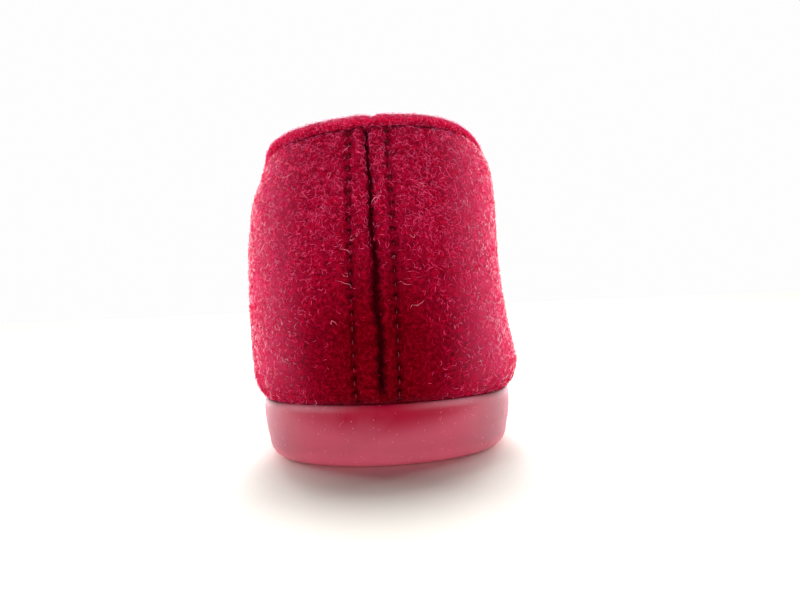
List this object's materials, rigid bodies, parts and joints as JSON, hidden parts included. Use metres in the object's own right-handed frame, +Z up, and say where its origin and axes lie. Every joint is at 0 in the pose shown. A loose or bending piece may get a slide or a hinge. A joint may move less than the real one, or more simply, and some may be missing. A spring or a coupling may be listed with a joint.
{
  "type": "ballet flat",
  "caption": "Left ballet flat: a thick wool felt upper with a centre back seam and a rolled topline binding, on a moulded translucent rubber cup sole.",
  "frame": {"origin": "on the floor under the middle of the shoe's own footprint", "axes": "+Y along the foot towards the toe, +X towards the inner, big-toe side, +Z up"},
  "size_m": [0.0938, 0.2592, 0.0814],
  "materials": {
    "rose_rubber": "satin, slightly translucent, dusty",
    "insole_felt": "matt brushed felt",
    "crimson_felt": "matt hairy wool felt",
    "binding_felt": "matt hairy wool felt"
  },
  "bodies": {
    "root": {"outsole": "rose_rubber", "insole": "insole_felt", "upper": "crimson_felt", "topline_binding": "binding_felt"}
  },
  "joints": []
}
